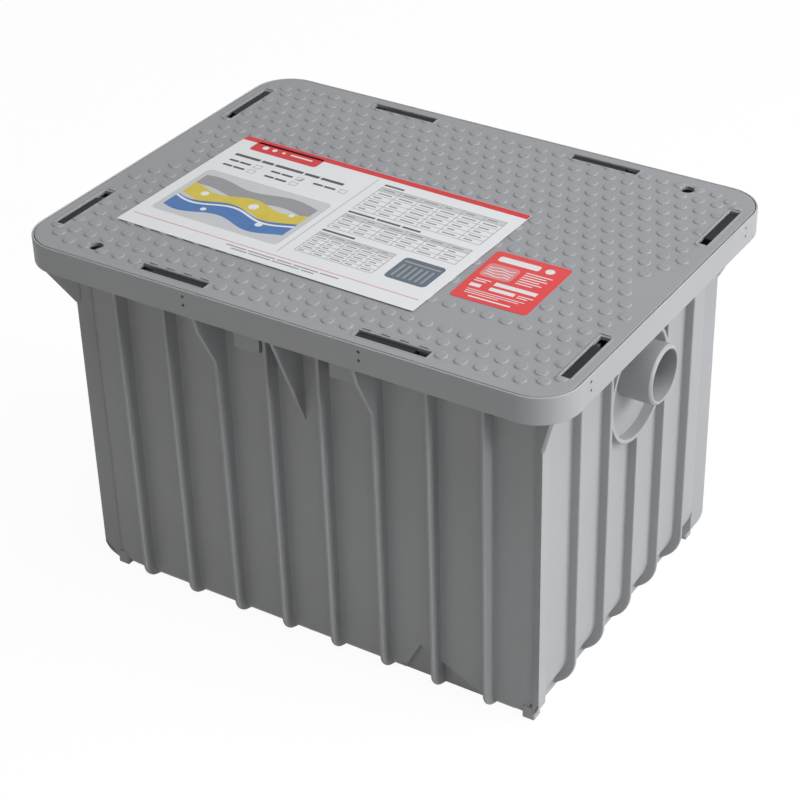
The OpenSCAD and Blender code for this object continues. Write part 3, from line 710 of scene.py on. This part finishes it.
def buildFilm(look):
    art = Print("rating_sticker", look)
    art.panel(0, 0, look["length"], look["width"], look["radius"], "filmRed", "sheet")
    art.cutEdge(look["thick"])
    art.panel(*look["heading"], "filmWhite")
    art.disc(*look["dot"], "filmWhite")
    art.panel(*look["field"], "filmPink")
    wavy = look["ripples"]
    for i in range(wavy["count"]):
        low = wavy["low"] + wavy["gap"] * i
        art.wave(*wavy["span"], low, low + wavy["thick"], wavy["swing"], wavy["waves"], wavy["shift"] * i,
                 "filmWhite")
    for row in look["lines"]:
        art.lines(*row, "filmWhite")
    for corners in look["boxes"]:
        art.bar(*corners, "filmWhite")
    return finishPiece(art.turned(), "rating_film", "lid", [inks[n] for n in look["inks"]],
                       "rating_sticker", look["smooth"])


buildFilm(filmShape)


# camera, floor and light

view = {"place": (0.9521, -1.470, 1.3172), "aim": (-0.4213, 0.7255, -0.5443), "sensor": 36.0, "lens": 95.06,
        "shiftX": -0.1125}
camData = bpy.data.cameras.new("photoCamera")
camData.sensor_width = view["sensor"]
camData.lens = view["lens"]
camData.shift_x = view["shiftX"]
cam = bpy.data.objects.new("photoCamera", camData)
cam.location = view["place"]
cam.rotation_euler = Vector(view["aim"]).to_track_quat("-Z", "Y").to_euler()
bpy.context.scene.collection.objects.link(cam)
bpy.context.scene.camera = cam


def backdropWhite(tree, surface, share, strength, target):
    glow = addNode(tree, "ShaderNodeEmission", {"Color": (1, 1, 1, 1), "Strength": strength})
    path = addNode(tree, "ShaderNodeLightPath")
    part = addNode(tree, "ShaderNodeMath", {1: share}, operation="MULTIPLY")
    seen = path.outputs["Is Camera Ray"]
    for ray in ("Is Glossy Ray", "Is Transmission Ray"):  # reflections see the same white
        either = addNode(tree, "ShaderNodeMath", operation="MAXIMUM")
        tree.links.new(seen, either.inputs[0])
        tree.links.new(path.outputs[ray], either.inputs[1])
        seen = either.outputs[0]
    tree.links.new(seen, part.inputs[0])
    both = addNode(tree, "ShaderNodeMixShader")
    tree.links.new(part.outputs[0], both.inputs[0])
    tree.links.new(surface.outputs[0], both.inputs[1])
    tree.links.new(glow.outputs[0], both.inputs[2])
    tree.links.new(both.outputs[0], target.inputs["Surface"])


floorLook = {"half": 6.0, "cuts": 4, "level": 0.48, "rough": 0.9, "white": 0.86, "glow": 1.1}
bm = bmesh.new()
bmesh.ops.create_grid(bm, x_segments=floorLook["cuts"], y_segments=floorLook["cuts"], size=floorLook["half"])
floorMesh = bpy.data.meshes.new("studioFloor")
bm.to_mesh(floorMesh)
bm.free()
floor = bpy.data.objects.new("studioFloor", floorMesh)
bpy.context.scene.collection.objects.link(floor)
mat, tree, shader = newMaterial("floorWhite")
shader.inputs["Base Color"].default_value = (*[floorLook["level"]] * 3, 1)
shader.inputs["Roughness"].default_value = floorLook["rough"]
backdropWhite(tree, shader, floorLook["white"], floorLook["glow"], tree.nodes["Material Output"])
floorMesh.materials.append(mat)

skyLook = {"fill": 0.1, "white": 1.0, "glow": 1.0}
world = bpy.data.worlds.new("studio")
bpy.context.scene.world = world
world.use_nodes = True
sky = world.node_tree
sky.nodes["Background"].inputs["Color"].default_value = (1, 1, 1, 1)
sky.nodes["Background"].inputs["Strength"].default_value = skyLook["fill"]
backdropWhite(sky, sky.nodes["Background"], skyLook["white"], skyLook["glow"], sky.nodes["World Output"])

lampAim = Vector((0, 0, 0.2))
lampLook = {
    "sideBox": {"place": (2.7, 1.1, 1.7), "size": (1.6, 1.6), "power": 65.0, "tint": (0.95, 0.968, 1.0)},
    "edgeBox": {"place": (2.9, -0.42, 1.2), "size": (0.36, 1.4), "power": 28.0, "tint": (0.96, 0.975, 1.0)},
    "topBox": {"place": (0.7, -0.2, 2.9), "size": (2.0, 2.0), "power": 38.0, "tint": (0.98, 0.985, 1.0)},
    "frontFill": {"place": (0.2, -3.2, 1.5), "size": (5.0, 3.0), "power": 13.0, "tint": (1.0, 0.985, 0.965)},
}
for name, look in lampLook.items():
    lamp = bpy.data.lights.new(name, "AREA")
    lamp.shape = "RECTANGLE"
    lamp.size, lamp.size_y = look["size"]
    lamp.energy = look["power"]
    lamp.color = look["tint"]
    holder = bpy.data.objects.new(name, lamp)
    holder.location = look["place"]
    holder.rotation_euler = (lampAim - Vector(look["place"])).to_track_quat("-Z", "Y").to_euler()
    bpy.context.scene.collection.objects.link(holder)
print("camera, floor and light ready")

bpy.context.scene.view_settings.view_transform = "Standard"
